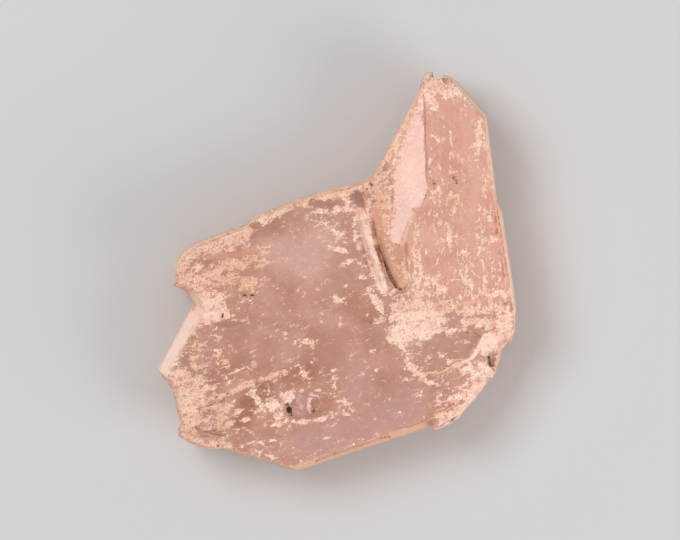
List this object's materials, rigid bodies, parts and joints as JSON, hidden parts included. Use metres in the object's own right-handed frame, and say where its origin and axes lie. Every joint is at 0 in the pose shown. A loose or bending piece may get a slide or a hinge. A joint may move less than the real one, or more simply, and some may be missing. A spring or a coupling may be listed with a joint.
{
  "type": "quartz cluster",
  "caption": "Two flat pink quartz crystals grown together in a V, with a pale crust in patches, to lie on its back as a mineral specimen.",
  "frame": {"origin": "middle of the outline, at the flat back that the cluster rests on", "axes": "+Z out of the front faces, +Y along the tall crystal towards its tip, +X to the right of it"},
  "size_m": [0.0559, 0.062, 0.0134],
  "materials": {
    "pink_quartz": "milky, slightly translucent pink, smooth in windows and rough where a cream crust covers it"
  },
  "bodies": {
    "root": {"quartz_cluster": "pink_quartz"}
  },
  "joints": []
}
